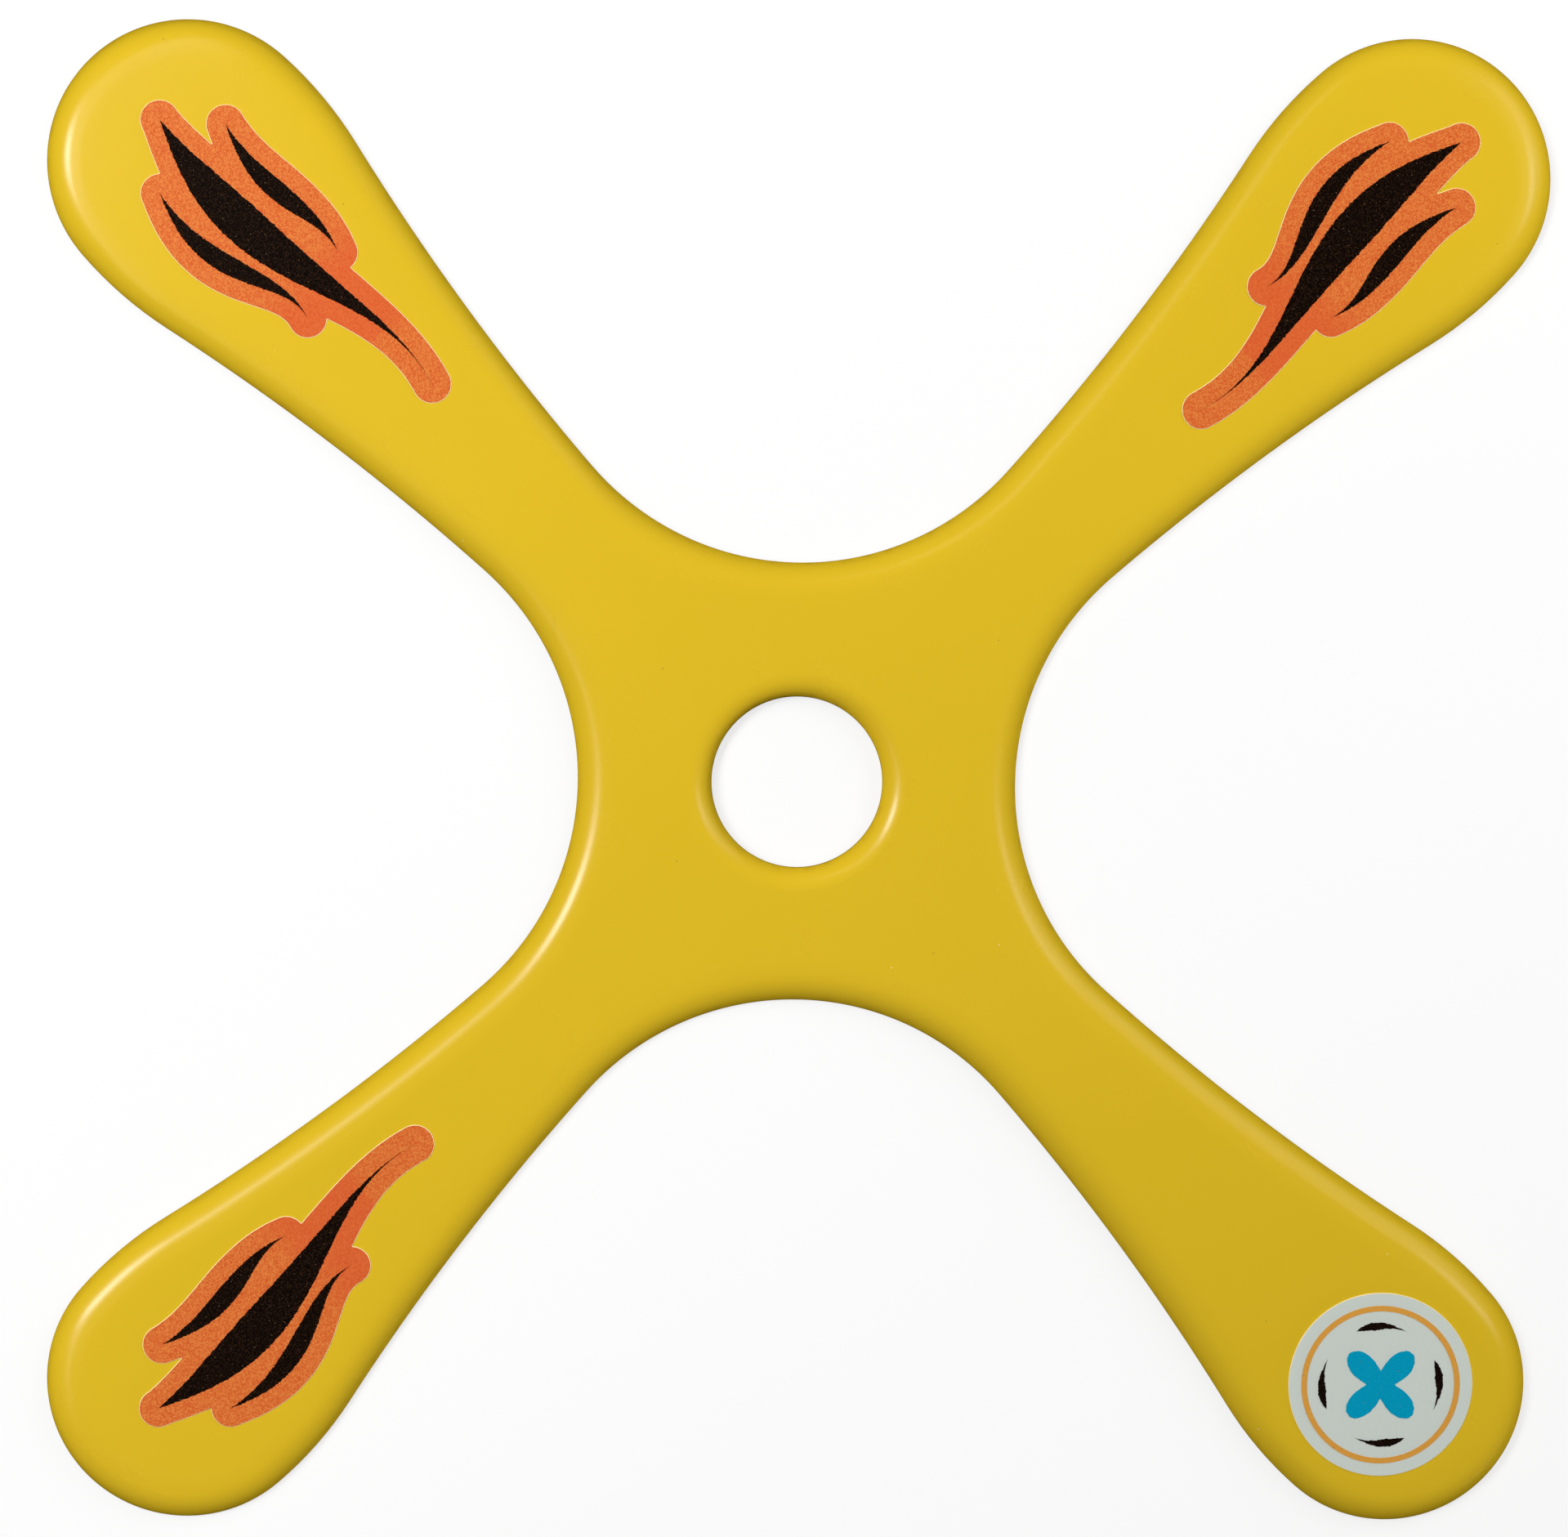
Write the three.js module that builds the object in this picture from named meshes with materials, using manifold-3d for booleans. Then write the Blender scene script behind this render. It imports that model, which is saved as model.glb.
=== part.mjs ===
// A four-bladed boomerang: one moulded plastic cross with a round hole through its hub, a die-cut printed
// film on three of its blades and a round printed label on the fourth.
// Millimetres, +Z up out of the decorated face. The origin is the centre of the hole on the flat underside,
// and the blades lie along the diagonals, at 45, 135, 225 and 315 degrees.
import * as THREE from "three";
import { mergeVertices } from "three/addons/utils/BufferGeometryUtils.js";
import Module from "manifold-3d";

const { degToRad } = THREE.MathUtils;

// Plan of the body. Each half of a blade is four arcs that meet in line: tip, shoulder, flank and bay.
const TIP_REACH = 160; // hole centre to a blade's tip
const TIP_RADIUS = 22.4;
const SHOULDER_RADIUS = 60.8;
const FLANK_RADIUS = 405.8;
const BAY_RADIUS = 44.3; // the hollow curve between two blades
const SHOULDER_START = degToRad(86.1); // where the tip's arc gives way to the shoulder's
const SHOULDER_END = degToRad(102.7);
const BLADE_COUNT = 4;
const FIRST_BLADE_ANGLE = degToRad(45);
const BAY_AXIS = Math.PI / BLADE_COUNT; // from a blade's axis to the middle of the bay beside it
const ARC_STEPS = { tip: 9, shoulder: 3, flank: 6, bay: 7 };

// Section of the body: a flat underside, a flat top and a rounded shoulder all round.
const THICKNESS = 4;
const LOWER_RADIUS = 0.5; // the small radius round the underside
const LOWER_STEPS = 2;
const BEVEL_WIDTH = 1.5; // the shallow bevel just outside the flat top
const BEVEL_SLOPE = degToRad(6.75);
const ROUND_WIDTH = 4.4; // the round outside that bevel
const EDGE_SLOPE = degToRad(65); // how steep the round is where it meets the edge
const ROUND_STEPS = 6;

// The hole through the hub has a plain rounded upper edge.
const HOLE_RADIUS = 13.75;
const HOLE_ROUND_WIDTH = 4;
const HOLE_SIDES = 48;

// The printed films: a coloured film with a layer of ink on it.
const FILM_THICKNESS = 0.15;
const INK_THICKNESS = 0.05;
const FILM_MARGIN = 3.1; // film left round the ink strokes when the film is cut
const STROKE_TAPER = 1.1; // how sharply a stroke narrows to its points
const STROKE_STEPS = 22;
const STROKE_END_STEPS = 7;

// The round label and its print.
const LABEL_RADIUS = 15;
const LABEL_SIDES = 64;
const RING_OUTER_RADIUS = 12.9;
const RING_INNER_RADIUS = 12;
const ROTOR_RADIUS = 7.2; // the printed four-lobed rotor
const ROTOR_WAIST = 2.3;
const ROTOR_LOBE_POWER = 1.6; // higher makes narrower lobes
const ROTOR_STEPS = 72;
const MARK_RADIUS = 9.6; // the printed turning marks run round the rotor at this distance
const MARK_SWEEP = degToRad(50);
const MARK_HALF_WIDTH = 0.62;
const MARK_LEAN = 1.5; // how far a mark's fullest place lies towards its front
const MARK_STEPS = 14;

// Where the films lie: blade number, distance out along the blade and offset to its counter-clockwise side.
const DECAL_PLACES = [
  { blade: 1, outward: 115.8, sideways: -0.5 },
  { blade: 0, outward: 117.6, sideways: -0.1 },
  { blade: 2, outward: 114.2, sideways: 0.9 },
];
const LABEL_PLACE = { blade: 3, outward: 136, sideways: -0.8 };

// The ink strokes of a wing decal: centre line from the hub end outward, half-width, and how far its
// fullest place lies towards the outer end.
const STROKES = [
  { name: "long", line: [[-30, -2.4], [-13, -7.4], [1, 6.6], [29.2, -0.9]], halfWidth: 3.2, lean: 2.1 },
  { name: "upper", line: [[-9, 4.4], [-1, 1.8], [6, 12.2], [21, 7.2]], halfWidth: 1.5, lean: 1.4 },
  { name: "lower", line: [[-5, -6.4], [3, -9.2], [9, -3.4], [21.5, -7.8]], halfWidth: 1.5, lean: 1.3 },
];

const plastic = (color, roughness) => new THREE.MeshStandardMaterial({ color, roughness, metalness: 0 });
const YELLOW_PLASTIC = plastic(0xe3c02b, 0.36);
const ORANGE_FILM = plastic(0xdc7037, 0.5);
const BLACK_INK = plastic(0x1a0b03, 0.5);
const WHITE_FILM = plastic(0xd2d8d0, 0.45);
const ORANGE_INK = plastic(0xd9963c, 0.5);
const BLUE_INK = plastic(0x1583ab, 0.5);

const wasm = await Module();
wasm.setup();

const polar = (angle, radius) => new THREE.Vector2(Math.cos(angle), Math.sin(angle)).multiplyScalar(radius);

// The arcs of one half of a blade, from the tip round to the middle of the bay, in the blade's own frame:
// x outward, y to its counter-clockwise side. A convex arc's centre lies inside the plastic.
function halfBladeArcs() {
  const tip = new THREE.Vector2(TIP_REACH - TIP_RADIUS, 0);
  const shoulder = tip.clone().sub(polar(SHOULDER_START, SHOULDER_RADIUS - TIP_RADIUS));
  const flank = shoulder.clone().add(polar(SHOULDER_END, SHOULDER_RADIUS + FLANK_RADIUS));
  const bayAxis = polar(BAY_AXIS, 1);
  const along = flank.dot(bayAxis);
  const reach = FLANK_RADIUS - BAY_RADIUS; // the bay's circle touches the flank's from inside
  const bayDistance = along - Math.sqrt(along * along - flank.lengthSq() + reach * reach);
  const bay = bayAxis.clone().multiplyScalar(bayDistance);
  const bayStart = bay.clone().sub(flank).angle() - 2 * Math.PI;
  const arc = (centre, radius, from, to, convex, steps) => ({ centre, radius, from, to, convex, steps });
  return [
    arc(tip, TIP_RADIUS, 0, SHOULDER_START, true, ARC_STEPS.tip),
    arc(shoulder, SHOULDER_RADIUS, SHOULDER_START, SHOULDER_END, true, ARC_STEPS.shoulder),
    arc(flank, FLANK_RADIUS, SHOULDER_END - Math.PI, bayStart, false, ARC_STEPS.flank),
    arc(bay, BAY_RADIUS, bayStart, BAY_AXIS - Math.PI, false, ARC_STEPS.bay),
  ];
}

// The points of one half of a blade, moved inward from the outline by inset.
function halfBladePoints(arcs, inset) {
  const points = [];
  arcs.forEach(({ centre, radius, from, to, convex, steps }, index) => {
    const offsetRadius = convex ? radius - inset : radius + inset;
    const curve = new THREE.EllipseCurve(centre.x, centre.y, offsetRadius, offsetRadius, from, to, to < from);
    points.push(...curve.getPoints(steps).slice(index === 0 ? 0 : 1));
  });
  return points;
}

// The whole outline, counter-clockwise, moved inward by inset.
function bodyRing(arcs, inset) {
  const half = halfBladePoints(arcs, inset);
  const mirrored = half.slice(1).reverse().map((point) => new THREE.Vector2(point.x, -point.y));
  const blade = [...mirrored, ...half.slice(0, -1)];
  const centre = new THREE.Vector2();
  const ring = [];
  for (let k = 0; k < BLADE_COUNT; k += 1) {
    const angle = FIRST_BLADE_ANGLE + (k * 2 * Math.PI) / BLADE_COUNT;
    ring.push(...blade.map((point) => point.clone().rotateAround(centre, angle)));
  }
  return ring;
}

// A ring of the hole's wall, counter-clockwise, at a distance out from the hole's edge.
function holeRing(inset) {
  const radius = HOLE_RADIUS + inset;
  return Array.from({ length: HOLE_SIDES }, (_, k) => polar((k * 2 * Math.PI) / HOLE_SIDES, radius));
}

// The section of an edge from the underside up to the flat top, as inset from the edge and height.
// The round's slope falls evenly from EDGE_SLOPE at the edge to innerSlope at its inner end.
function edgeSection(roundWidth, innerSlope, bevelWidth) {
  const section = [];
  for (let k = 0; k <= LOWER_STEPS; k += 1) {
    const angle = (k / LOWER_STEPS) * (Math.PI / 2);
    section.push([LOWER_RADIUS * (1 - Math.sin(angle)), LOWER_RADIUS * (1 - Math.cos(angle))]);
  }
  const radius = roundWidth / (Math.sin(EDGE_SLOPE) - Math.sin(innerSlope));
  const roundTop = THICKNESS - bevelWidth * Math.tan(innerSlope);
  for (let k = 0; k <= ROUND_STEPS; k += 1) {
    const slope = EDGE_SLOPE + (k / ROUND_STEPS) * (innerSlope - EDGE_SLOPE);
    const inset = radius * (Math.sin(EDGE_SLOPE) - Math.sin(slope));
    section.push([inset, roundTop - radius * (Math.cos(innerSlope) - Math.cos(slope))]);
  }
  if (bevelWidth > 0) section.push([roundWidth + bevelWidth, THICKNESS]);
  return section;
}

// One closed surface: the outer wall, the hole's wall, the flat underside and the flat top.
function bodyGeometry() {
  const arcs = halfBladeArcs();
  const outerSection = edgeSection(ROUND_WIDTH, BEVEL_SLOPE, BEVEL_WIDTH);
  const holeSection = edgeSection(HOLE_ROUND_WIDTH, 0, 0);
  const outerRings = outerSection.map(([inset]) => bodyRing(arcs, inset));
  const holeRings = holeSection.map(([inset]) => holeRing(inset));
  const positions = [];
  const faces = [];

  const addRings = (rings, section) => {
    const starts = [];
    rings.forEach((ring, level) => {
      starts.push(positions.length / 3);
      ring.forEach(({ x, y }) => positions.push(x, y, section[level][1]));
    });
    return starts;
  };
  const addWall = (starts, count, facesOut) => {
    for (let level = 0; level + 1 < starts.length; level += 1) {
      for (let k = 0; k < count; k += 1) {
        const a = starts[level] + k;
        const b = starts[level] + ((k + 1) % count);
        const c = starts[level + 1] + ((k + 1) % count);
        const d = starts[level + 1] + k;
        if (facesOut) faces.push(a, b, c, a, c, d);
        else faces.push(a, c, b, a, d, c);
      }
    }
  };
  const addCap = (outer, outerStart, hole, holeStart, facesUp) => {
    const index = (k) => (k < outer.length ? outerStart + k : holeStart + k - outer.length);
    THREE.ShapeUtils.triangulateShape(outer, [hole]).forEach(([a, b, c]) => {
      if (facesUp) faces.push(index(a), index(b), index(c));
      else faces.push(index(a), index(c), index(b));
    });
  };

  const outerStarts = addRings(outerRings, outerSection);
  const holeStarts = addRings(holeRings, holeSection);
  addWall(outerStarts, outerRings[0].length, true);
  addWall(holeStarts, HOLE_SIDES, false);
  addCap(outerRings[0], outerStarts[0], holeRings[0], holeStarts[0], false);
  addCap(outerRings.at(-1), outerStarts.at(-1), holeRings.at(-1), holeStarts.at(-1), true);
  const geometry = new THREE.BufferGeometry();
  geometry.setAttribute("position", new THREE.Float32BufferAttribute(positions, 3));
  geometry.setIndex(faces);
  geometry.computeVertexNormals();
  return geometry;
}

// A flat layer with the given outline and thickness, standing on z = 0.
function layer(outline, thickness, hole) {
  const shape = new THREE.Shape(outline);
  if (hole) shape.holes.push(new THREE.Path(hole));
  return new THREE.ExtrudeGeometry(shape, { depth: thickness, bevelEnabled: false, curveSegments: 1 });
}

function circle(radius, sides) {
  return Array.from({ length: sides }, (_, k) => polar((k * 2 * Math.PI) / sides, radius));
}

// A tapered stroke's outline, widened by margin all round. Its ends are points, or round where it is widened.
function strokeOutline({ line, halfWidth, lean }, margin) {
  const curve = new THREE.CubicBezierCurve(...line.map(([x, y]) => new THREE.Vector2(x, y)));
  const left = [];
  const right = [];
  for (let k = 0; k <= STROKE_STEPS; k += 1) {
    const t = k / STROKE_STEPS;
    const half = halfWidth * Math.sin(Math.PI * t ** lean) ** STROKE_TAPER + margin;
    const tangent = curve.getTangent(t);
    const across = new THREE.Vector2(-tangent.y, tangent.x).multiplyScalar(half);
    left.push(curve.getPoint(t).add(across));
    right.push(curve.getPoint(t).sub(across));
  }
  if (margin === 0) return [...right, ...left.slice(1, -1).reverse()];
  const roundEnd = (t, turn) => {
    const tangent = curve.getTangent(t);
    const start = Math.atan2(tangent.y, tangent.x) + turn;
    const end = [];
    for (let k = 1; k < STROKE_END_STEPS; k += 1) {
      end.push(curve.getPoint(t).add(polar(start + (k * Math.PI) / STROKE_END_STEPS, margin)));
    }
    return end;
  };
  return [...right, ...roundEnd(1, -Math.PI / 2), ...left.reverse(), ...roundEnd(0, Math.PI / 2)];
}

function toSolid(geometry) {
  const bare = new THREE.BufferGeometry();
  bare.setAttribute("position", geometry.getAttribute("position"));
  if (geometry.index) bare.setIndex(geometry.index);
  const merged = mergeVertices(bare, 1e-4);
  const vertProperties = merged.attributes.position.array;
  return new wasm.Manifold(new wasm.Mesh({ numProp: 3, vertProperties, triVerts: merged.index.array }));
}

function toGeometry(solid) {
  const { vertProperties, triVerts } = solid.getMesh();
  const geometry = new THREE.BufferGeometry();
  geometry.setAttribute("position", new THREE.Float32BufferAttribute(vertProperties, 3));
  geometry.setIndex(Array.from(triVerts));
  geometry.computeVertexNormals();
  return geometry;
}

// The film of a wing decal: every stroke widened by the margin, joined into one sheet.
function decalFilmGeometry() {
  const sheets = STROKES.map((stroke) => toSolid(layer(strokeOutline(stroke, FILM_MARGIN), FILM_THICKNESS)));
  return toGeometry(sheets.reduce((joined, sheet) => joined.add(sheet)));
}

// The rotor printed on the label: four round lobes, one for each blade.
function rotorOutline() {
  const points = [];
  for (let k = 0; k < ROTOR_STEPS; k += 1) {
    const angle = (k * 2 * Math.PI) / ROTOR_STEPS;
    const lobe = Math.abs(Math.cos((BLADE_COUNT / 2) * angle)) ** ROTOR_LOBE_POWER;
    points.push(polar(angle, ROTOR_WAIST + (ROTOR_RADIUS - ROTOR_WAIST) * lobe));
  }
  return points;
}

// One turning mark: an arc beside the rotor that tapers to a point at both ends.
function turningMarkOutline() {
  const outer = [];
  const inner = [];
  for (let k = 0; k <= MARK_STEPS; k += 1) {
    const t = k / MARK_STEPS;
    const half = MARK_HALF_WIDTH * Math.sin(Math.PI * t ** MARK_LEAN);
    const angle = (t - 0.5) * MARK_SWEEP;
    outer.push(polar(angle, MARK_RADIUS + half));
    inner.push(polar(angle, MARK_RADIUS - half));
  }
  return [...outer, ...inner.slice(1, -1).reverse()];
}

function mesh(name, geometry, material, z) {
  const made = new THREE.Mesh(geometry, material);
  made.name = name;
  made.position.z = z;
  return made;
}

// A group that stands on the flat top at a place on a blade, with its x axis outward along that blade.
function onBlade({ blade, outward, sideways }) {
  const group = new THREE.Group();
  const angle = FIRST_BLADE_ANGLE + (blade * 2 * Math.PI) / BLADE_COUNT;
  const place = new THREE.Vector2(outward, sideways).rotateAround(new THREE.Vector2(), angle);
  group.position.set(place.x, place.y, THICKNESS);
  group.rotation.z = angle;
  return group;
}

function wingDecal(number, place) {
  const decal = onBlade(place);
  decal.add(mesh(`wing_decal_${number}_film`, decalFilmGeometry(), ORANGE_FILM, 0));
  STROKES.forEach((stroke) => {
    const ink = layer(strokeOutline(stroke, 0), INK_THICKNESS);
    decal.add(mesh(`wing_decal_${number}_${stroke.name}_stroke`, ink, BLACK_INK, FILM_THICKNESS));
  });
  return decal;
}

function roundLabel(place) {
  const label = onBlade(place);
  const disc = layer(circle(LABEL_RADIUS, LABEL_SIDES), FILM_THICKNESS);
  const ringHole = circle(RING_INNER_RADIUS, LABEL_SIDES);
  const ring = layer(circle(RING_OUTER_RADIUS, LABEL_SIDES), INK_THICKNESS, ringHole);
  label.add(mesh("round_label_film", disc, WHITE_FILM, 0));
  label.add(mesh("round_label_ring", ring, ORANGE_INK, FILM_THICKNESS));
  label.add(mesh("round_label_rotor", layer(rotorOutline(), INK_THICKNESS), BLUE_INK, FILM_THICKNESS));
  for (let k = 0; k < BLADE_COUNT; k += 1) {
    const mark = layer(turningMarkOutline(), INK_THICKNESS);
    const printed = mesh(`round_label_mark_${k + 1}`, mark, BLACK_INK, FILM_THICKNESS);
    printed.rotation.z = BAY_AXIS + (k * 2 * Math.PI) / BLADE_COUNT;
    label.add(printed);
  }
  return label;
}

const boomerang = new THREE.Group();
boomerang.add(mesh("body", bodyGeometry(), YELLOW_PLASTIC, 0));
DECAL_PLACES.forEach((place, index) => boomerang.add(wingDecal(index + 1, place)));
boomerang.add(roundLabel(LABEL_PLACE));

export default boomerang;
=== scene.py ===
# The looks of a four-bladed boomerang: a moulded yellow plastic cross with three printed wing decals
# and a round printed label, lying on a pale floor. Metres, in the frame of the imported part.
import math
from collections import namedtuple

import bmesh
import bpy
import numpy as np
from mathutils import Matrix, Vector
from mathutils.geometry import delaunay_2d_cdt


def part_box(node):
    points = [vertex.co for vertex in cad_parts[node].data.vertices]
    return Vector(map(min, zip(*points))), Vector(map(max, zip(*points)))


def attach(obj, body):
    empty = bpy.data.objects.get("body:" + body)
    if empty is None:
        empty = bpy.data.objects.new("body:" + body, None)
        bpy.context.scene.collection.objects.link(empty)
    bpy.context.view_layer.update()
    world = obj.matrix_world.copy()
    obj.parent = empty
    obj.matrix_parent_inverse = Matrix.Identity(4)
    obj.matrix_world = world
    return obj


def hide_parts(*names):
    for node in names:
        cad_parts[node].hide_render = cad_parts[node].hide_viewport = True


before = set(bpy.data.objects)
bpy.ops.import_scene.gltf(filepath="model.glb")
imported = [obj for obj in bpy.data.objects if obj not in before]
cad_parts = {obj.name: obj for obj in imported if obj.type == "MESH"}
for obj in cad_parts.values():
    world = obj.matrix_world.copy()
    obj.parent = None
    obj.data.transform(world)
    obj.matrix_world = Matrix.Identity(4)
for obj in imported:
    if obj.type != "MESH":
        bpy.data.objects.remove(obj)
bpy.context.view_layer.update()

MM = 0.001
SEED = 11

# Plan of the body: each half of a blade is four arcs that meet in line.
TIP_REACH = 160 * MM
TIP_RADIUS = 22.4 * MM
SHOULDER_RADIUS = 60.8 * MM
FLANK_RADIUS = 405.8 * MM
BAY_RADIUS = 44.3 * MM
SHOULDER_START = math.radians(86.1)
SHOULDER_END = math.radians(102.7)
BLADE_COUNT = 4
BLADE_PITCH = 2 * math.pi / BLADE_COUNT
FIRST_BLADE_ANGLE = math.radians(45)
BAY_AXIS = BLADE_PITCH / 2
ARC_STEPS = {"tip": 30, "shoulder": 8, "flank": 30, "bay": 32}

# Section of the body.
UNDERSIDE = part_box("body")[0].z
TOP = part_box("body")[1].z
LOWER_RADIUS = 0.5 * MM
BEVEL_WIDTH = 1.5 * MM
BEVEL_SLOPE = math.radians(6.75)
ROUND_WIDTH = 4.4 * MM
EDGE_SLOPE = math.radians(65)
BREAK_SOFTNESS = 0.5 * MM  # how far the line between the bevel and the flat top is rounded
FLASH = 0.04 * MM  # the mould's parting line stands this proud
HOLE_RADIUS = 13.75 * MM
HOLE_ROUND_WIDTH = 4 * MM
BEVEL_ROW = 0.3  # where the row of vertices on the bevel lies, as a share of its width
FLASH_PROFILE = ((0.25, 0), (0.4, FLASH), (0.6, FLASH), (0.75, 0))  # share of the wall, how proud
ROUND_STEPS = 16
LOWER_STEPS = 5
MERGE_DISTANCE = 1e-7  # joins the grids' seams and closes their zero-length edges

# Where the spokes of the flat faces' mesh meet the blade's axis.
TIP_SPOKE_START = 146 * MM
TIP_SPOKE_END = 131 * MM
HOLE_SPOKE_SHARE = 0.42  # of the bay's arc, whose spokes end on the axis and not at the hole
SPOKE_STEPS = 7

# The printed films.
FILM_MARGIN = 3.1 * MM
FILM_EDGE = 0.1 * MM  # the width of a film's pale cut edge, whose pale tint is partly its own colour and partly a painted highlight
INK_RAGGEDNESS = 0.07 * MM
RAGGED_SHARE = 0.35  # the most that a narrow print's half-width varies, as a share of it
STROKE_TAPER = 1.1
INK_STEPS = 480
FILM_STEPS = 120
FILM_END_STEPS = 24
KEEP_INSIDE = 1  # the triangulation's mode that keeps the triangles inside the outlines
WELD_DISTANCE = 1e-8
# A stroke follows a cubic in millimetres, along the blade and across it; lean moves its fullest part.
STROKES = {
    "long": dict(line=[(-30, -2.4), (-13, -7.4), (1, 6.6), (29.2, -0.9)], half_width=3.2, lean=2.1),
    "upper": dict(line=[(-9, 4.4), (-1, 1.8), (6, 12.2), (21, 7.2)], half_width=1.5, lean=1.4),
    "lower": dict(line=[(-5, -6.4), (3, -9.2), (9, -3.4), (21.5, -7.8)], half_width=1.5, lean=1.3),
}
DECAL_BLADES = {1: 1, 2: 0, 3: 2}  # decal number: the blade it is on
LABEL_BLADE = 3
LABEL_RADIUS = 15 * MM
LABEL_SIDES = 192
RING_OUTER_RADIUS = 12.9 * MM
RING_INNER_RADIUS = 12 * MM
ROTOR_RADIUS = 7.2 * MM
ROTOR_WAIST = 2.3 * MM
ROTOR_LOBE_POWER = 1.6
MARK_RADIUS = 9.6 * MM
MARK_SWEEP = math.radians(50)
MARK_HALF_WIDTH = 0.62 * MM
MARK_LEAN = 1.5
MARK_STEPS = 60
ROTOR_STEPS = 300

# The plastic's surface. Insets are measured from the outline.
TOOL_MARK_PITCH = 0.3 * MM
TOOL_MARKS_FROM = (3.2 * MM, 4.4 * MM)
TOOL_MARKS_TO = (6.0 * MM, 6.6 * MM)
GRIME_INSETS = (0.1 * MM, 1.1 * MM)
GRIME_STRENGTH = 0.3
YELLOWS = ((0.698, 0.464, 0.0155, 1), (0.712, 0.476, 0.0165, 1))
GRIME_COLOR = (0.42, 0.2, 0.012, 1)
DARK_DUST = (0.36, 0.25, 0.04, 1)
PALE_DUST = (0.85, 0.75, 0.4, 1)
PLASTIC_ROUGHNESS = (0.25, 0.28)

# Where along a film its ink is redder, in the film's own frame, and how far that wanders.
PATCH_START = (-20 * MM, -18 * MM)
PATCH_END = (-8 * MM, 0)
PATCH_WANDER = 1.2 * MM
PATCH_STRENGTH = 0.6

# The camera, as a long lens above the hub, a little towards the top and the left of the decorated face.
CAMERA_DISTANCE = 600 * MM
CAMERA_TILT_X = math.radians(3.23)
CAMERA_TILT_Y = math.radians(1.90)
CAMERA_ROLL = math.radians(-0.651)
VIEW_WIDTH = 252.16 * MM  # what the picture's width takes in at the hub
SENSOR_WIDTH = 36
SHIFT_X = -0.0081
SHIFT_Y = 0.0083

# The lights: azimuth in degrees counter-clockwise from +X, elevation in degrees, distance and size in
# metres, power in watts. The fills aren't mirrored in the plastic.
SOFTBOXES = {
    "left_softbox": (165, 47.5, 1.6, (0.32, 0.42), 9.1),
    "right_softbox": (12, 44, 1.3, (0.36, 0.4), 1.2),
}
FILLS = {
    "right_fill": (30, 27, 0.55, (0.3, 0.3), 1.35),
    "far_fill": (155, 53.3, 0.5, (0.85, 0.1), 2.15),
    "low_fill": (320.4, 3, 1.97, (0.8, 0.15), 13.5),
}
SKY_LIGHT = 0.05
HORIZON = 0.1  # the sky fades out between this height and as far below the horizon
FLOOR_SIZE = 4
FLOOR_TONES = ((0.24, 0.24, 0.24, 1), (0.26, 0.26, 0.26, 1))
FLOOR_GLOW = 0.72
FLOOR_GAP = 0.05 * MM  # keeps the floor out of the plane of the underside
WHITE = (1, 1, 1, 1)

Arc = namedtuple("Arc", "centre radius start end convex steps")


def polar(angle, radius):
    return radius * np.array([math.cos(angle), math.sin(angle)])


def blade_turn(blade):
    """The rotation from a blade's own frame, with x outward, to the part's."""
    return Matrix.Rotation(FIRST_BLADE_ANGLE + blade * BLADE_PITCH, 4, "Z")


# ---------------------------------------------------------------- the body's mesh


def half_blade_arcs():
    """The arcs from a blade's tip round to the middle of a bay: x outward, y counter-clockwise."""
    tip = np.array([TIP_REACH - TIP_RADIUS, 0])
    shoulder = tip - polar(SHOULDER_START, SHOULDER_RADIUS - TIP_RADIUS)
    flank = shoulder + polar(SHOULDER_END, SHOULDER_RADIUS + FLANK_RADIUS)
    bay_axis = polar(BAY_AXIS, 1)
    along = flank @ bay_axis
    reach = FLANK_RADIUS - BAY_RADIUS
    bay = bay_axis * (along - math.sqrt(along**2 - flank @ flank + reach**2))
    bay_start = math.atan2(*(bay - flank)[::-1])
    return [
        Arc(tip, TIP_RADIUS, 0, SHOULDER_START, True, ARC_STEPS["tip"]),
        Arc(shoulder, SHOULDER_RADIUS, SHOULDER_START, SHOULDER_END, True, ARC_STEPS["shoulder"]),
        Arc(flank, FLANK_RADIUS, SHOULDER_END - math.pi, bay_start, False, ARC_STEPS["flank"]),
        Arc(bay, BAY_RADIUS, bay_start, BAY_AXIS - math.pi, False, ARC_STEPS["bay"]),
    ]


ARCS = half_blade_arcs()
OUTLINE_STEPS = sum(arc.steps for arc in ARCS)
HOLE_START = OUTLINE_STEPS - round(ARC_STEPS["bay"] * (1 - HOLE_SPOKE_SHARE))


def outline_points(inset):
    """One half of a blade's outline, moved inward by inset."""
    points = []
    for arc in ARCS:
        radius = arc.radius - inset if arc.convex else arc.radius + inset
        angles = np.linspace(arc.start, arc.end, arc.steps + 1)[1 if points else 0 :]
        points += [arc.centre + polar(angle, radius) for angle in angles]
    return np.array(points)


def hole_points(inset):
    """The part of the hole's ring that the same half of the blade holds, moved outward by inset."""
    angles = np.linspace(0, BAY_AXIS, OUTLINE_STEPS - HOLE_START + 1)
    return np.array([polar(angle, HOLE_RADIUS + inset) for angle in angles])


def spoke_ends(hole_inset):
    """Where each spoke from the outline ends: on the blade's axis, then on the hole's ring. The first
    two end together, because the first one runs along the axis."""
    joints = np.cumsum([0] + [arc.steps for arc in ARCS])
    flank_ends = outline_points(0)[joints[2:4], 0]
    stations = [0, 1, *joints[1:4], HOLE_START]
    tip_ends = [TIP_SPOKE_START, TIP_SPOKE_START, TIP_SPOKE_END]
    ends = [*tip_ends, *flank_ends, HOLE_RADIUS + hole_inset]
    axis = np.interp(np.arange(HOLE_START), stations, ends)
    return np.vstack([np.column_stack([axis, np.zeros(HOLE_START)]), hole_points(hole_inset)])


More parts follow.
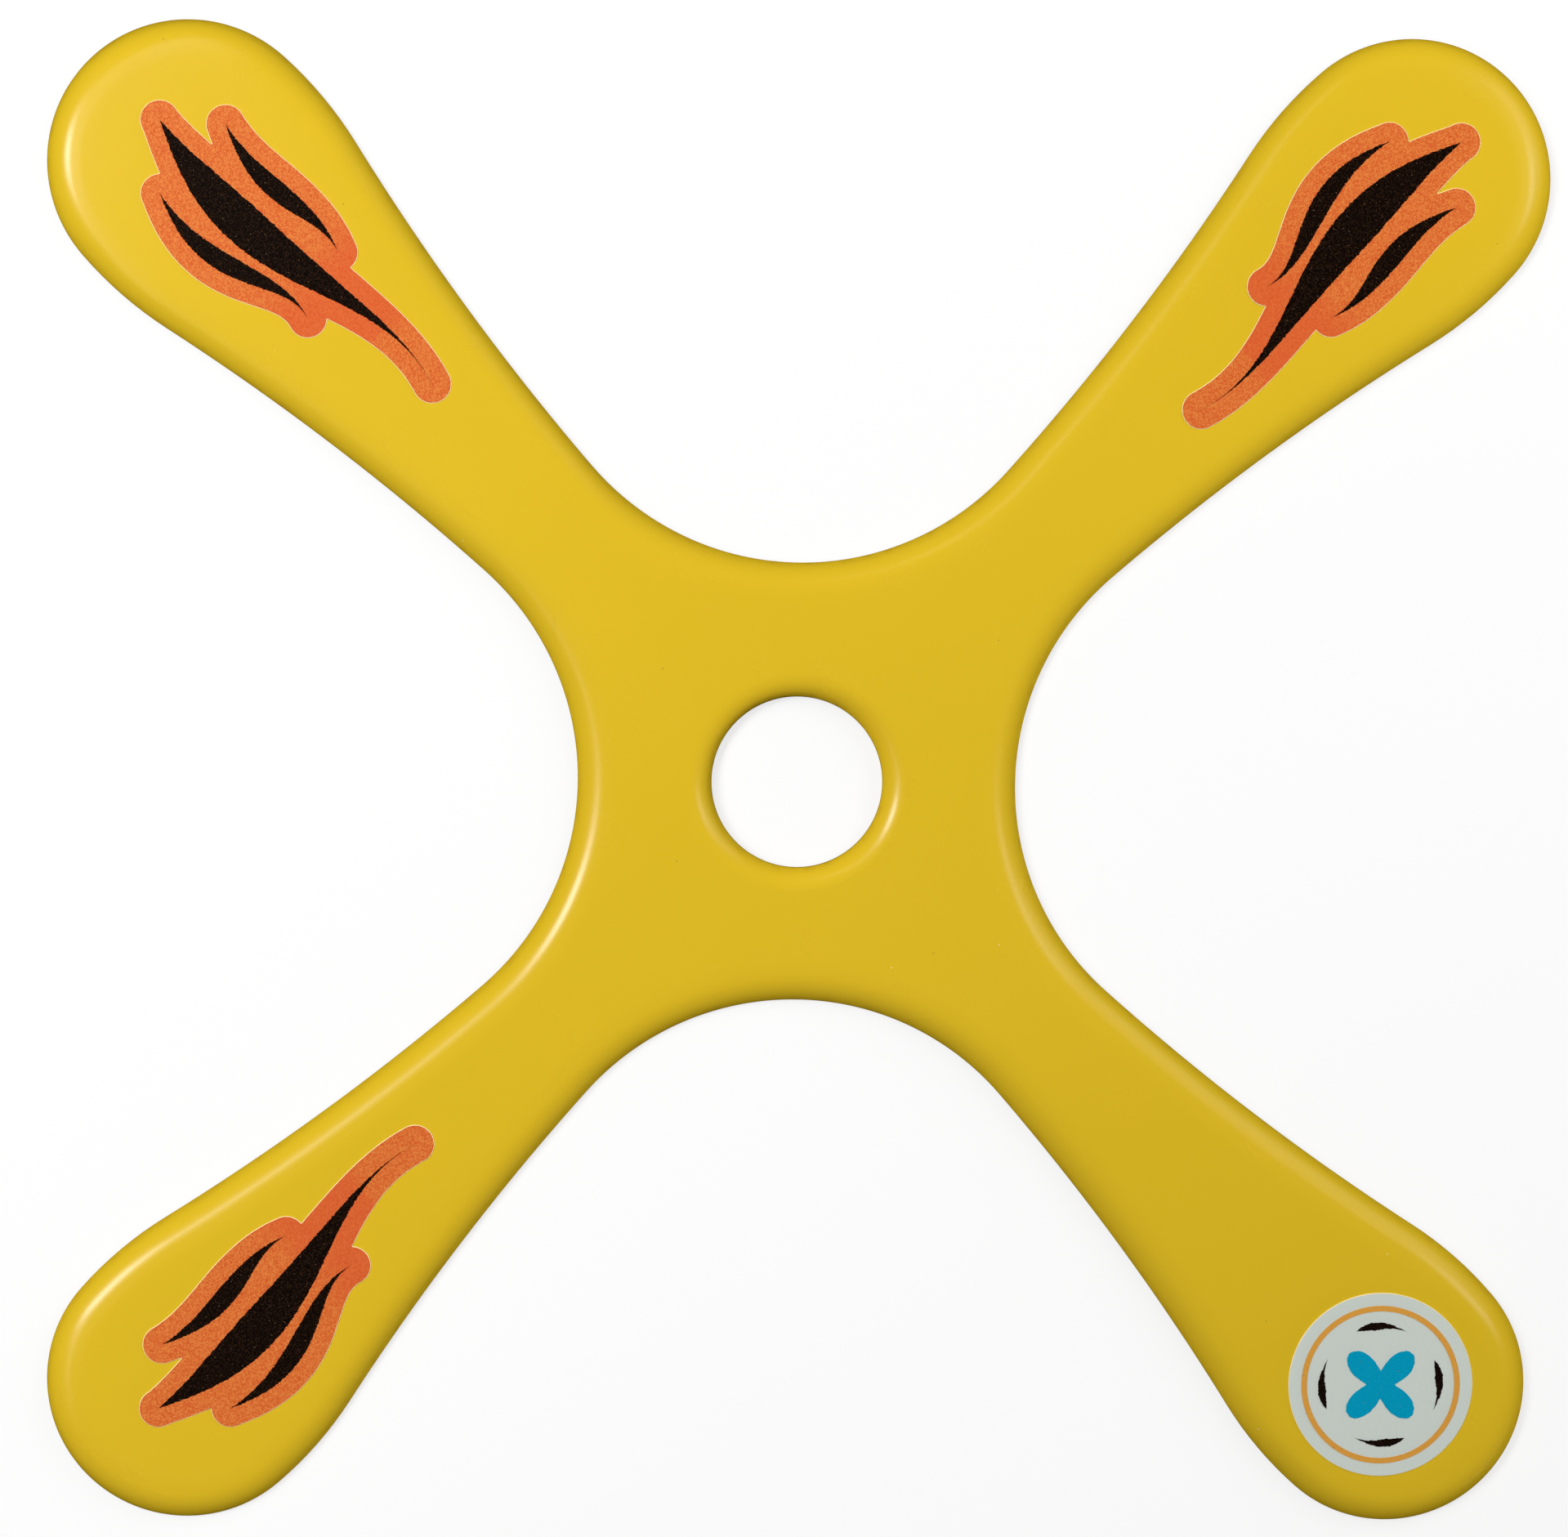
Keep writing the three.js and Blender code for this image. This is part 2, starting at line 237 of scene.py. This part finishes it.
def edge_section(round_width, inner_slope, bevel_width):
    """The section of an edge from the flat top down to the underside, as inset and height."""
    radius = round_width / (math.sin(EDGE_SLOPE) - math.sin(inner_slope))
    round_top = TOP - bevel_width * math.tan(inner_slope)
    section = []
    if bevel_width:
        width = round_width + bevel_width
        drop = BREAK_SOFTNESS * math.tan(inner_slope)
        row = BEVEL_ROW * bevel_width
        section.append((width + BREAK_SOFTNESS, TOP))
        section.append((width, TOP - drop / 4))  # the line is a parabola that meets both faces
        section.append((width - BREAK_SOFTNESS, TOP - drop))
        section.append((round_width + row, round_top + row * math.tan(inner_slope)))
    for slope in np.linspace(inner_slope, EDGE_SLOPE, ROUND_STEPS + 1):
        inset = radius * (math.sin(EDGE_SLOPE) - math.sin(slope))
        section.append((inset, round_top - radius * (math.cos(inner_slope) - math.cos(slope))))
    land = section[-1][1] - UNDERSIDE - LOWER_RADIUS
    for share, proud in FLASH_PROFILE:
        section.append((-proud, UNDERSIDE + LOWER_RADIUS + land * (1 - share)))
    for angle in np.linspace(math.pi / 2, 0, LOWER_STEPS + 1):
        inset = LOWER_RADIUS * (1 - math.sin(angle))
        section.append((inset, UNDERSIDE + LOWER_RADIUS * (1 - math.cos(angle))))
    return section


OUTER_SECTION = edge_section(ROUND_WIDTH, BEVEL_SLOPE, BEVEL_WIDTH)
HOLE_SECTION = edge_section(HOLE_ROUND_WIDTH, 0, 0)


def half_blade_grids():
    """The grids of points (x, y, z, inset) that make one half of a blade, each a surface of quads."""

    def row(points, z, inset):
        return np.column_stack([points, np.full(len(points), z), np.full(len(points), inset)])

    def flat_face(level):
        (inset, z), (hole_inset, _) = OUTER_SECTION[level], HOLE_SECTION[level]
        outer = row(outline_points(inset), z, inset)
        inner = row(spoke_ends(hole_inset), z, TIP_RADIUS)
        shares = np.linspace(0, 1, SPOKE_STEPS + 1)
        return [outer + share * (inner - outer) for share in shares]

    outer_wall = [row(outline_points(inset), z, inset) for inset, z in OUTER_SECTION]
    hole_wall = [row(hole_points(inset), z, inset) for inset, z in HOLE_SECTION]
    return [flat_face(0)[::-1] + outer_wall[1:], flat_face(-1), hole_wall[::-1]]


def add_grid(mesh, inset_layer, grid, transform, flipped):
    """Adds a grid's vertices and quads, each vertex with how far in from the edge it lies."""
    rows = []
    for line in grid:
        row = []
        for x, y, z, inset in line:
            vertex = mesh.verts.new(transform @ Vector((x, y, z)))
            vertex[inset_layer] = inset
            row.append(vertex)
        rows.append(row)
    for above, below in zip(rows, rows[1:]):
        for k in range(len(above) - 1):
            corners = [above[k], below[k], below[k + 1], above[k + 1]]
            mesh.faces.new(corners[::-1] if flipped else corners)


def body_mesh():
    mesh = bmesh.new()
    inset_layer = mesh.verts.layers.float.new("inset")
    mirror = Matrix.Diagonal((1, -1, 1, 1))
    grids = half_blade_grids()
    for blade in range(BLADE_COUNT):
        turn = blade_turn(blade)
        for grid in grids:
            add_grid(mesh, inset_layer, grid, turn, False)
            add_grid(mesh, inset_layer, grid, turn @ mirror, True)
    bmesh.ops.remove_doubles(mesh, verts=mesh.verts, dist=MERGE_DISTANCE)
    bmesh.ops.recalc_face_normals(mesh, faces=mesh.faces)
    data = bpy.data.meshes.new("moulded_body")
    mesh.to_mesh(data)
    mesh.free()
    data.shade_smooth()
    return data


# ---------------------------------------------------------------- flat printed pieces


def uneven(rng, half):
    """Half-widths with the slightly uneven edge of print, even where the print comes to a point."""
    noise = rng.normal(0, 1, len(half) + 2)
    noise = 0.25 * noise[:-2] + 0.5 * noise[1:-1] + 0.25 * noise[2:]
    return half + noise * np.minimum(INK_RAGGEDNESS, RAGGED_SHARE * half)


def stroke_line(stroke, steps):
    """A stroke's centre line, the unit directions across and along it, and its half-widths."""
    p0, p1, p2, p3 = (np.array(point) * MM for point in stroke["line"])
    t = np.linspace(0, 1, steps + 1)[:, None]
    centre = (1 - t) ** 3 * p0 + 3 * (1 - t) ** 2 * t * p1 + 3 * (1 - t) * t**2 * p2 + t**3 * p3
    along = (1 - t) ** 2 * (p1 - p0) + 2 * (1 - t) * t * (p2 - p1) + t**2 * (p3 - p2)
    along /= np.linalg.norm(along, axis=1)[:, None]
    across = np.column_stack([-along[:, 1], along[:, 0]])
    fullness = np.clip(np.sin(math.pi * t[:, 0] ** stroke["lean"]), 0, None) ** STROKE_TAPER
    return centre, across, along, stroke["half_width"] * MM * fullness


def inked_stroke(stroke, rng):
    """A tapered stroke's outline, counter-clockwise, with the uneven edge of print."""
    centre, across, _, half = stroke_line(stroke, INK_STEPS)
    left = centre + across * uneven(rng, half)[:, None]
    right = centre - across * uneven(rng, half)[:, None]
    return np.vstack([right, left[-2:0:-1]])


def widened_stroke(stroke):
    """The same outline widened by the film's margin, with round ends."""
    centre, across, along, half = stroke_line(stroke, FILM_STEPS)
    left = centre + across * (half + FILM_MARGIN)[:, None]
    right = centre - across * (half + FILM_MARGIN)[:, None]

    def round_end(point, direction):
        start = math.atan2(direction[1], direction[0]) - math.pi / 2
        angles = start + np.linspace(0, math.pi, FILM_END_STEPS + 1)[1:-1]
        return [point + polar(angle, FILM_MARGIN) for angle in angles]

    far_end, near_end = round_end(centre[-1], along[-1]), round_end(centre[0], -along[0])
    return np.vstack([right, far_end, left[::-1], near_end])


def circle_outline(radius):
    return np.array([polar(2 * math.pi * k / LABEL_SIDES, radius) for k in range(LABEL_SIDES)])


def rotor_outline(rng):
    angles = np.linspace(0, 2 * math.pi, ROTOR_STEPS, endpoint=False)
    lobes = np.abs(np.cos(BLADE_COUNT / 2 * angles)) ** ROTOR_LOBE_POWER
    radii = uneven(rng, ROTOR_WAIST + (ROTOR_RADIUS - ROTOR_WAIST) * lobes)
    return np.array([polar(angle, radius) for angle, radius in zip(angles, radii)])


def mark_outline(rng):
    t = np.linspace(0, 1, MARK_STEPS)
    half = MARK_HALF_WIDTH * np.clip(np.sin(math.pi * t**MARK_LEAN), 0, None)
    angles = (t - 0.5) * MARK_SWEEP
    outer = [polar(angle, MARK_RADIUS + width) for angle, width in zip(angles, uneven(rng, half))]
    inner = [polar(angle, MARK_RADIUS - width) for angle, width in zip(angles, uneven(rng, half))]
    return np.array(outer + inner[-2:0:-1])


def normals_of(outline):
    """The outward normal at each point of a counter-clockwise outline."""
    tangent = np.roll(outline, -1, axis=0) - np.roll(outline, 1, axis=0)
    tangent /= np.linalg.norm(tangent, axis=1)[:, None]
    return np.column_stack([tangent[:, 1], -tangent[:, 0]])


def boundary_of(triangles):
    """The edges that only one triangle has, as an ordered ring of vertex numbers."""
    edges = {(a, b) for t in triangles for a, b in zip(t, (*t[1:], t[0]))}
    follows = {a: b for a, b in edges if (b, a) not in edges}
    ring = [min(follows)]
    for _ in follows:
        ring.append(follows[ring[-1]])
    if ring[-1] != ring[0] or len(set(ring)) != len(follows):
        raise ValueError("a printed piece's outlines don't join into one")
    return ring[:-1]


def sheet_mesh(name, outlines, thickness, edge=0.0):
    """A closed thin sheet covering all the outlines together. Its top edge is cut back by edge,
    and that cut takes the second material."""
    points = [Vector(point) for outline in outlines for point in outline]
    starts = np.cumsum([0] + [len(outline) for outline in outlines])
    faces = [list(range(a, b)) for a, b in zip(starts, starts[1:])]
    flat, _, triangles, *_ = delaunay_2d_cdt(points, [], faces, KEEP_INSIDE, WELD_DISTANCE)
    ring = boundary_of(triangles)
    mesh = bmesh.new()

    def level(z, inset):
        placed = np.array(flat)
        placed[ring] -= normals_of(placed[ring]) * inset
        return [mesh.verts.new((x, y, z)) for x, y in placed]

    bottom, top = level(0, 0), level(thickness, edge)
    for triangle in triangles:
        mesh.faces.new([top[k] for k in triangle])
        mesh.faces.new([bottom[k] for k in reversed(triangle)])
    walls = [bottom, level(thickness / 2, 0), top] if edge else [bottom, top]
    for below, above in zip(walls, walls[1:]):
        for a, b in zip(ring, ring[1:] + ring[:1]):
            wall = mesh.faces.new([below[a], below[b], above[b], above[a]])
            wall.material_index = 1 if edge else 0
    bmesh.ops.delete(mesh, geom=[v for v in mesh.verts if not v.link_faces], context="VERTS")
    data = bpy.data.meshes.new(name)
    mesh.to_mesh(data)
    mesh.free()
    return data


def ring_mesh(name, outer, inner, thickness):
    """A closed flat ring between two outlines with the same number of points."""
    mesh = bmesh.new()
    corners = [(outer, 0), (outer, thickness), (inner, thickness), (inner, 0)]
    loops = [[mesh.verts.new((x, y, z)) for x, y in outline] for outline, z in corners]
    for loop, following in zip(loops, loops[1:] + loops[:1]):
        for k in range(len(loop)):
            after = (k + 1) % len(loop)
            mesh.faces.new([loop[k], loop[after], following[after], following[k]])
    data = bpy.data.meshes.new(name)
    mesh.to_mesh(data)
    mesh.free()
    return data


# ---------------------------------------------------------------- materials


class Shader:
    """A material's node tree, built one node at a time."""

    def __init__(self, name):
        self.material = bpy.data.materials.new(name)
        self.material.use_nodes = True
        self.tree = self.material.node_tree
        self.surface = self.tree.nodes["Principled BSDF"]
        self.place = self.node("ShaderNodeTexCoord").outputs["Object"]

    def feed(self, value, socket):
        """Links another node's output to a socket, or sets the socket to a constant."""
        if isinstance(value, bpy.types.NodeSocket):
            self.tree.links.new(value, socket)
        else:
            socket.default_value = value

    def node(self, kind, inputs=None, **settings):
        made = self.tree.nodes.new(kind)
        for name, value in settings.items():
            setattr(made, name, value)
        for name, value in (inputs or {}).items():
            self.feed(value, made.inputs[name])
        return made

    def noise(self, size, detail=2.0, vector=None):
        """Noise from 0 to 1, mostly from 0.3 to 0.7, with features of about that size in metres."""
        inputs = {"Vector": vector or self.place, "Scale": 1 / size, "Detail": detail}
        return self.node("ShaderNodeTexNoise", inputs).outputs["Fac"]

    def dots(self, spacing, radius, seed=0.0):
        """1 in small dots strewn at about that spacing, and 0 between them."""
        moved = {0: self.place, 1: (seed, seed, 0)}
        place = self.node("ShaderNodeVectorMath", moved, operation="ADD").outputs[0]
        cell = {"Vector": place, "Scale": 1 / spacing}
        distance = self.node("ShaderNodeTexVoronoi", cell, voronoi_dimensions="2D").outputs["Distance"]
        return self.remap(distance, 0.8 * radius / spacing, 1.2 * radius / spacing, 1, 0)

    def remap(self, value, low, high, to_low, to_high, smooth=False):
        inputs = {"Value": value, "From Min": low, "From Max": high}
        inputs |= {"To Min": to_low, "To Max": to_high}
        kind = "SMOOTHSTEP" if smooth else "LINEAR"
        return self.node("ShaderNodeMapRange", inputs, interpolation_type=kind).outputs["Result"]

    def multiply(self, a, b):
        return self.node("ShaderNodeMath", {0: a, 1: b}, operation="MULTIPLY").outputs[0]

    def mix(self, share, a, b):
        """Colour a, or colour b where the share is 1."""
        made = self.node("ShaderNodeMix", data_type="RGBA")
        sockets = {s.identifier: s for s in (*made.inputs, *made.outputs)}
        inputs = {"Factor_Float": share, "A_Color": a, "B_Color": b}
        for identifier, value in inputs.items():
            self.feed(value, sockets[identifier])
        return sockets["Result_Color"]

    def bump(self, height, distance, before=None):
        """The normal of a relief of that height in metres, on top of another normal."""
        inputs = {"Height": height, "Distance": distance}
        if before is not None:
            inputs["Normal"] = before
        return self.node("ShaderNodeBump", inputs).outputs["Normal"]

    def finish(self, color, roughness, normal=None, **constants):
        self.feed(color, self.surface.inputs["Base Color"])
        self.feed(roughness, self.surface.inputs["Roughness"])
        if normal is not None:
            self.feed(normal, self.surface.inputs["Normal"])
        for name, value in constants.items():
            self.surface.inputs[name.replace("_", " ")].default_value = value
        return self.material


def srgb(red, green, blue):
    """A colour given as 8-bit sRGB, as linear RGBA."""

    def linear(value):
        share = value / 255
        return share / 12.92 if share <= 0.04045 else ((share + 0.055) / 1.055) ** 2.4

    return (linear(red), linear(green), linear(blue), 1.0)


FILM_ORANGES = (srgb(205, 88, 38), srgb(220, 126, 60), srgb(212, 86, 44))  # plain, speck, patch
FILM_WHITES = (srgb(202, 210, 202), srgb(205, 213, 205), srgb(202, 210, 202))
# the pale tints of a film's cut edge, partly its own colour and partly a painted highlight
FILM_EDGE_AND_HIGHLIGHT_TINTS = (srgb(236, 214, 150), srgb(250, 236, 190))
INK_BLACKS = (srgb(10, 4, 2), srgb(52, 33, 20))  # plain, speck
INK_ORANGES = (srgb(214, 152, 62), srgb(220, 160, 78))
INK_BLUES = (srgb(0, 148, 184), srgb(20, 156, 190))
INK_DUST = srgb(112, 88, 66)


def yellow_plastic():
    """Satin moulded plastic: a fine grain, tool marks that follow the outline, and a little dust."""
    shader = Shader("moulded_yellow")
    inset = shader.node("ShaderNodeAttribute", attribute_name="inset").outputs["Fac"]
    cloud = shader.remap(shader.noise(60 * MM, detail=3), 0.3, 0.7, 0, 1)
    color = shader.mix(cloud, *YELLOWS)
    rim = shader.remap(inset, *GRIME_INSETS, GRIME_STRENGTH, 0, smooth=True)
    grime = shader.remap(shader.noise(2.6 * MM, detail=4), 0.45, 0.75, 0, 1)
    color = shader.mix(shader.multiply(rim, grime), color, GRIME_COLOR)
    color = shader.mix(shader.dots(37 * MM, 0.11 * MM), color, DARK_DUST)
    color = shader.mix(shader.dots(61 * MM, 0.1 * MM, seed=3.7), color, PALE_DUST)
    roughness = shader.remap(shader.noise(14 * MM, detail=4), 0.3, 0.7, *PLASTIC_ROUGHNESS)
    across = {"X": inset, "Y": shader.multiply(cloud, 0.2 * MM)}
    line_place = shader.node("ShaderNodeCombineXYZ", across).outputs[0]
    lines = shader.noise(TOOL_MARK_PITCH, detail=1, vector=line_place)
    start = shader.remap(inset, *TOOL_MARKS_FROM, 0, 1, smooth=True)
    end = shader.remap(inset, *TOOL_MARKS_TO, 1, 0, smooth=True)
    worn = shader.remap(shader.noise(25 * MM, detail=2), 0.35, 0.65, 0.15, 1)
    marks = shader.multiply(shader.multiply(start, end), shader.multiply(lines, worn))
    normal = shader.bump(marks, 0.006 * MM)
    normal = shader.bump(shader.noise(0.4 * MM, detail=2), 0.0045 * MM, normal)
    normal = shader.bump(shader.noise(5 * MM, detail=1), 0.014 * MM, normal)
    return shader.finish(color, roughness, normal, IOR=1.49, Specular_IOR_Level=0.5)


def printed_film(name, color, speck, patch):
    """Printed film: colour in fine dots of two tints, and a patch that took more ink."""
    shader = Shader(name)
    grain = shader.remap(shader.noise(0.24 * MM, detail=2), 0.4, 0.6, 0, 1)
    tint = shader.mix(grain, color, speck)
    along = shader.node("ShaderNodeSeparateXYZ", {"Vector": shader.place}).outputs["X"]
    wander = shader.remap(shader.noise(6 * MM, detail=1), 0.3, 0.7, -PATCH_WANDER, PATCH_WANDER)
    along = shader.node("ShaderNodeMath", {0: along, 1: wander}, operation="ADD").outputs[0]
    start = shader.remap(along, *PATCH_START, 0, 1, smooth=True)
    end = shader.remap(along, *PATCH_END, 1, 0, smooth=True)
    share = shader.multiply(shader.multiply(start, end), PATCH_STRENGTH)
    tint = shader.mix(share, tint, patch)
    bumps = shader.bump(shader.noise(0.3 * MM, detail=1), 0.01 * MM)
    return shader.finish(tint, 0.42, bumps, IOR=1.46, Specular_IOR_Level=0.2)


def film_edge_and_highlight():
    """The cut edge of a film, tinted pale: partly its own colour and partly a painted highlight."""
    shader = Shader("film_edge_and_highlight")
    tint = shader.mix(shader.noise(1.5 * MM), *FILM_EDGE_AND_HIGHLIGHT_TINTS)
    return shader.finish(tint, 0.4)


def ink(name, color, speck):
    """Printed ink, with a fine grain and a few specks."""
    shader = Shader(name)
    grain = shader.remap(shader.noise(0.25 * MM, detail=2), 0.5, 0.7, 0, 1)
    tint = shader.mix(grain, color, speck)
    tint = shader.mix(shader.dots(3.1 * MM, 0.07 * MM), tint, INK_DUST)
    bumps = shader.bump(shader.noise(0.3 * MM, detail=1), 0.01 * MM)
    return shader.finish(tint, 0.45, bumps, IOR=1.46, Specular_IOR_Level=0.08)


# ---------------------------------------------------------------- putting it together


def add_object(name, data, *materials):
    made = bpy.data.objects.new(name, data)
    bpy.context.scene.collection.objects.link(made)
    if not data.materials:  # several objects may share one mesh
        for material in materials:
            data.materials.append(material)
    return made


def node_thickness(node):
    low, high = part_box(node)
    return high.z - low.z


def local_frame(node, data, blade):
    """Where a flat piece's own frame lies, so that its mesh fills the box of the CAD node."""
    turn = blade_turn(blade)
    turned_points = np.array([turn @ vertex.co for vertex in data.vertices])
    centre = Vector((turned_points.min(axis=0) + turned_points.max(axis=0)) / 2)
    low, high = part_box(node)
    middle = (low + high) / 2
    return Matrix.Translation((middle.x - centre.x, middle.y - centre.y, low.z)) @ turn


def lift_to(node, place):
    """The rise from a film's frame to the underside of the print on it."""
    return Matrix.Translation((0, 0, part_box(node)[0].z - place.translation.z))


def stand_for(piece, node):
    """Says which body a piece rides on, which node it takes the place of."""
    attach(piece, "root")
    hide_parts(node)


def make_body():
    body = add_object("moulded_body", body_mesh(), yellow_plastic())
    stand_for(body, "body")


def make_wing_decals(black, edge):
    rng = np.random.default_rng(SEED)
    orange = printed_film("printed_orange_film", *FILM_ORANGES)
    wide = [widened_stroke(stroke) for stroke in STROKES.values()]
    film = sheet_mesh("wing_decal_film", wide, node_thickness("wing_decal_1_film"), FILM_EDGE)
    inks = {}
    for name, stroke in STROKES.items():
        outline, thickness = inked_stroke(stroke, rng), node_thickness(f"wing_decal_1_{name}_stroke")
        inks[name] = sheet_mesh(f"wing_decal_{name}_stroke", [outline], thickness)
    for number, blade in DECAL_BLADES.items():
        node = f"wing_decal_{number}_film"
        place = local_frame(node, film, blade)
        sheet = add_object(f"printed_film_{number}", film, orange, edge)
        sheet.matrix_world = place
        stand_for(sheet, node)
        for name, data in inks.items():
            stroke_node = f"wing_decal_{number}_{name}_stroke"
            stroke = add_object(f"printed_stroke_{number}_{name}", data, black)
            stroke.matrix_world = lift_to(stroke_node, place) @ place
            stand_for(stroke, stroke_node)


def make_round_label(black, edge):
    rng = np.random.default_rng(SEED + 1)
    white = printed_film("printed_white_film", *FILM_WHITES)
    orange = ink("printed_orange", *INK_ORANGES)
    blue = ink("printed_blue", *INK_BLUES)
    film_thickness, ink_thickness = map(node_thickness, ("round_label_film", "round_label_rotor"))
    film = sheet_mesh("label_film", [circle_outline(LABEL_RADIUS)], film_thickness, FILM_EDGE)
    place = local_frame("round_label_film", film, LABEL_BLADE)
    lift = lift_to("round_label_rotor", place)

    def printed(name, data, material, node, turn=0.0):
        piece = add_object(name, data, material)
        piece.matrix_world = lift @ place @ Matrix.Rotation(turn, 4, "Z")
        stand_for(piece, node)

    sheet = add_object("label_film", film, white, edge)
    sheet.matrix_world = place
    stand_for(sheet, "round_label_film")
    outer, inner = circle_outline(RING_OUTER_RADIUS), circle_outline(RING_INNER_RADIUS)
    ring = ring_mesh("label_ring", outer, inner, ink_thickness)
    printed("label_ring", ring, orange, "round_label_ring")
    rotor = sheet_mesh("label_rotor", [rotor_outline(rng)], ink_thickness)
    printed("label_rotor", rotor, blue, "round_label_rotor")
    mark = sheet_mesh("label_mark", [mark_outline(rng)], ink_thickness)
    for k in range(BLADE_COUNT):
        turn = BAY_AXIS + k * BLADE_PITCH
        name = f"label_mark_{k + 1}"
        printed(name, mark, black, f"round_{name}", turn)


# ---------------------------------------------------------------- floor, light and camera


def make_floor():
    """A pale floor that glows a little, and neither lights the object nor shows in its gloss."""
    mesh = bmesh.new()
    bmesh.ops.create_grid(mesh, x_segments=2, y_segments=2, size=FLOOR_SIZE)
    data = bpy.data.meshes.new("floor")
    mesh.to_mesh(data)
    mesh.free()
    shader = Shader("floor")
    tone = shader.mix(shader.noise(300 * MM), *FLOOR_TONES)
    matte = shader.finish(tone, 0.9, Emission_Color=WHITE, Emission_Strength=FLOOR_GLOW)
    floor = add_object("floor", data, matte)
    floor.location.z = UNDERSIDE - FLOOR_GAP
    floor.visible_diffuse = False
    floor.visible_glossy = False


def add_softbox(name, azimuth, elevation, distance, size, power):
    """A softbox that faces the hub."""
    light = bpy.data.lights.new(name, "AREA")
    light.shape = "RECTANGLE"
    light.size, light.size_y = size
    light.energy = power
    made = bpy.data.objects.new(name, light)
    rise = math.radians(elevation)
    direction = Vector((*polar(math.radians(azimuth), math.cos(rise)), math.sin(rise)))
    facing = direction.to_track_quat("Z", "Y").to_matrix().to_4x4()
    made.matrix_world = Matrix.Translation(direction * distance) @ facing
    bpy.context.scene.collection.objects.link(made)
    return made


def make_lights():
    for name, settings in SOFTBOXES.items():
        add_softbox(name, *settings)
    for name, settings in FILLS.items():
        add_softbox(name, *settings).visible_glossy = False


def make_world():
    """Even light from above the floor's level and none from below it."""
    world = bpy.data.worlds.new("studio")
    bpy.context.scene.world = world
    world.use_nodes = True
    nodes, links = world.node_tree.nodes, world.node_tree.links
    place = nodes.new("ShaderNodeTexCoord")
    parts = nodes.new("ShaderNodeSeparateXYZ")
    fade = nodes.new("ShaderNodeMapRange")
    span = {"From Min": -HORIZON, "From Max": HORIZON, "To Min": 0, "To Max": SKY_LIGHT}
    for name, value in span.items():
        fade.inputs[name].default_value = value
    links.new(place.outputs["Generated"], parts.inputs[0])
    links.new(parts.outputs["Z"], fade.inputs["Value"])
    links.new(fade.outputs["Result"], nodes["Background"].inputs["Strength"])
    nodes["Background"].inputs["Color"].default_value = WHITE


def make_camera():
    """A camera that faces the hub along its back vector, with the +Y side up but for the roll."""
    side, tall = math.sin(CAMERA_TILT_Y), math.cos(CAMERA_TILT_Y)
    flat = math.cos(CAMERA_TILT_X)
    back = Vector((-side * flat, math.sin(CAMERA_TILT_X), tall * flat))
    back.normalize()
    right = Vector((0, 1, 0)).cross(back).normalized()
    up = back.cross(right)
    turn, lean = math.cos(CAMERA_ROLL), math.sin(CAMERA_ROLL)
    right, up = turn * right - lean * up, lean * right + turn * up
    data = bpy.data.cameras.new("camera")
    data.sensor_fit = "HORIZONTAL"
    data.sensor_width = SENSOR_WIDTH
    data.lens = SENSOR_WIDTH * CAMERA_DISTANCE / VIEW_WIDTH
    data.shift_x, data.shift_y = SHIFT_X, SHIFT_Y
    camera = bpy.data.objects.new("camera", data)
    axes = Matrix((right, up, back)).transposed().to_4x4()
    camera.matrix_world = Matrix.Translation(back * CAMERA_DISTANCE) @ axes
    bpy.context.scene.collection.objects.link(camera)
    bpy.context.scene.camera = camera


make_camera()
make_body()
black_ink = ink("printed_black", *INK_BLACKS)
# the films' cut edge, tinted pale, partly as a painted highlight
cut_edge_and_highlight = film_edge_and_highlight()
make_wing_decals(black_ink, cut_edge_and_highlight)
make_round_label(black_ink, cut_edge_and_highlight)
make_floor()
make_lights()
make_world()
bpy.context.scene.view_settings.view_transform = "Standard"
